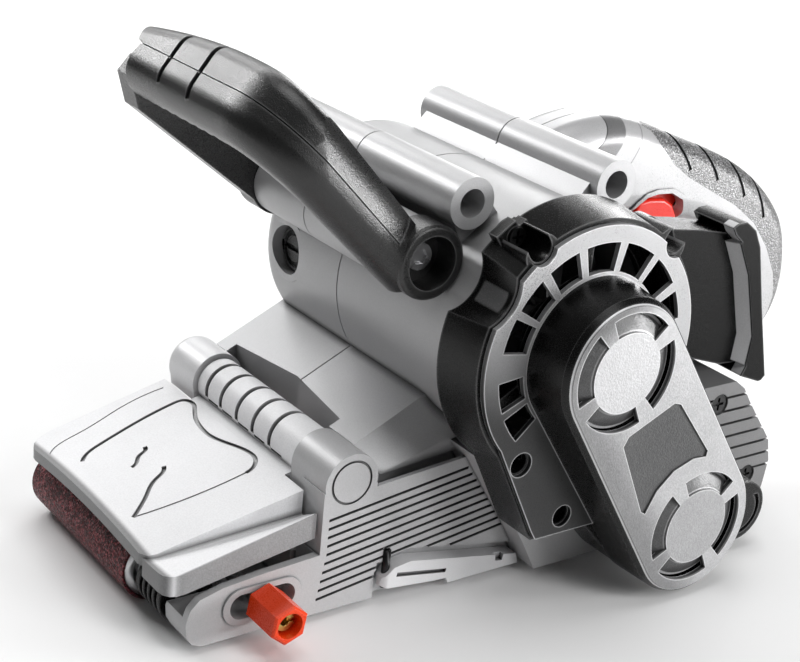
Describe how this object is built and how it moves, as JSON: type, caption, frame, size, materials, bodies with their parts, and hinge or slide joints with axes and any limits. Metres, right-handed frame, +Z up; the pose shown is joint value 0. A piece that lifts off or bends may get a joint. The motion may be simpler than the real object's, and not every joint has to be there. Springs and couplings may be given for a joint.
{
  "type": "belt sander",
  "caption": "Hand-held belt sander with a lengthwise abrasive belt, cross-mounted motor, side belt drive, tilting front handle, looped rear handle and dust outlet.",
  "frame": {"origin": "centre of the belt's flat working face", "axes": "+X towards the rear handle, +Y away from the drive side, +Z up out of the working face"},
  "size_m": [0.3323, 0.1682, 0.1921],
  "materials": {
    "silver_plastic": "satin silver-grey, fine grain",
    "cover_white": "pale grey, sanded grain",
    "black_plastic": "black, fine texture",
    "graphite_plate": "graphite metallic paint",
    "cover_silver": "silver textured paint",
    "grip_rubber": "soft dark grip, stippled",
    "orange_plastic": "red-orange, glossy",
    "red_plastic": "red, satin",
    "brass": "turned brass",
    "steel": "zinc plated",
    "laminations": "stacked steel sheet",
    "copper": "turned copper",
    "grey_plastic": "moulded",
    "carbon": "pressed carbon",
    "aluminium": "machined",
    "rubber": "black rubber",
    "cork": "pressed cork",
    "abrasive": "dark red-brown abrasive grain on cloth"
  },
  "bodies": {
    "base": {"base_frame": "silver_plastic", "platen_cushion": "cork", "platen": "steel", "far_plate": "steel", "far_bush": "brass", "far_plate_screws": "steel", "top_deck": "silver_plastic", "rear_hood": "silver_plastic", "hinge_pin": "steel", "lever_pin": "steel", "housing_near": "silver_plastic", "housing_far": "silver_plastic", "gear_case": "black_plastic", "vent_plate": "graphite_plate", "belt_cover": "black_plastic", "cover_face": "cover_silver", "toothed_belt_a": "rubber", "toothed_belt_b": "rubber", "stator": "laminations", "ball_bearings": "steel", "carbon_brushes": "carbon", "brush_holders": "brass", "brush_caps": "black_plastic", "handle_near": "silver_plastic", "handle_far": "silver_plastic", "handle_grip": "grip_rubber", "cord_inlet": "black_plastic", "switch_body": "black_plastic", "trigger_pin": "steel", "dust_outlet": "black_plastic", "bail_bolt": "steel", "base_screws": "steel", "case_screws": "steel", "abrasive_belt": "abrasive"},
    "armature": {"armature_core": "laminations", "armature_shaft": "steel", "commutator": "copper", "cooling_fan": "grey_plastic", "motor_pulley": "aluminium"},
    "jackshaft": {"jack_shaft": "steel", "jack_pulley": "aluminium", "jack_pinion": "aluminium"},
    "drive_roller": {"drive_shaft": "steel", "drive_drum": "aluminium", "drive_tyre": "rubber", "drive_pulley": "aluminium"},
    "carriage": {"tension_yoke": "steel", "front_axle": "steel", "axle_boot": "black_plastic"},
    "front_roller": {"front_roller": "aluminium"},
    "tracking_screw": {"tracking_knob": "orange_plastic", "knob_insert": "brass", "tracking_stem": "steel"},
    "tension_lever": {"tension_lever": "silver_plastic"},
    "front_cover": {"front_cover": "cover_white"},
    "front_handle": {"bail_upper": "black_plastic", "bail_lower": "black_plastic"},
    "trigger": {"trigger": "red_plastic"}
  },
  "joints": [
    {"name": "armature_spin", "type": "hinge", "parent": "base", "child": "armature", "pos_m": [0.026, 0, 0.1], "axis": [0, 1, 0], "continuous": true},
    {"name": "jackshaft_spin", "type": "hinge", "parent": "base", "child": "jackshaft", "pos_m": [0.0734, 0, 0.0303], "axis": [0, 1, 0], "continuous": true},
    {"name": "drive_roller_spin", "type": "hinge", "parent": "base", "child": "drive_roller", "pos_m": [0.114, 0, 0.02], "axis": [0, 1, 0], "continuous": true},
    {"name": "tension_slide", "type": "slide", "parent": "base", "child": "carriage", "axis": [1, 0, 0], "range_m": [0, 0.007]},
    {"name": "front_roller_spin", "type": "hinge", "parent": "carriage", "child": "front_roller", "pos_m": [-0.102, 0, 0.013], "axis": [0, 1, 0], "continuous": true},
    {"name": "tracking_turn", "type": "hinge", "parent": "carriage", "child": "tracking_screw", "pos_m": [-0.0818, -0.06, 0.0148], "axis": [0, 1, 0], "range_deg": [-180, 180]},
    {"name": "tension_lever_swing", "type": "hinge", "parent": "base", "child": "tension_lever", "pos_m": [-0.0305, -0.0765, 0.012], "axis": [0, 0, -1], "range_deg": [0, 85.5]},
    {"name": "front_cover_flip", "type": "hinge", "parent": "base", "child": "front_cover", "pos_m": [-0.0483, -0.01, 0.0522], "axis": [0, 1, 0], "range_deg": [0, 95]},
    {"name": "front_handle_tilt", "type": "hinge", "parent": "base", "child": "front_handle", "pos_m": [-0.0235, -0.022, 0.129], "axis": [0, 1, 0], "range_deg": [-40, 40]},
    {"name": "trigger_press", "type": "hinge", "parent": "base", "child": "trigger", "pos_m": [0.109, -0.015, 0.1224], "axis": [0, -1, 0], "range_deg": [0, 5], "stiffness_Nm_per_rad": 0.4, "springref_deg": -2.86}
  ],
  "couplings": [
    {"joint": "jackshaft_spin", "follows": "armature_spin", "ratio": 0.42105},
    {"joint": "drive_roller_spin", "follows": "armature_spin", "ratio": 0.19433},
    {"joint": "front_roller_spin", "follows": "armature_spin", "ratio": 0.30769},
    {"joint": "tension_lever_swing", "follows": "tension_slide", "rad_per_m": 211.93}
  ]
}
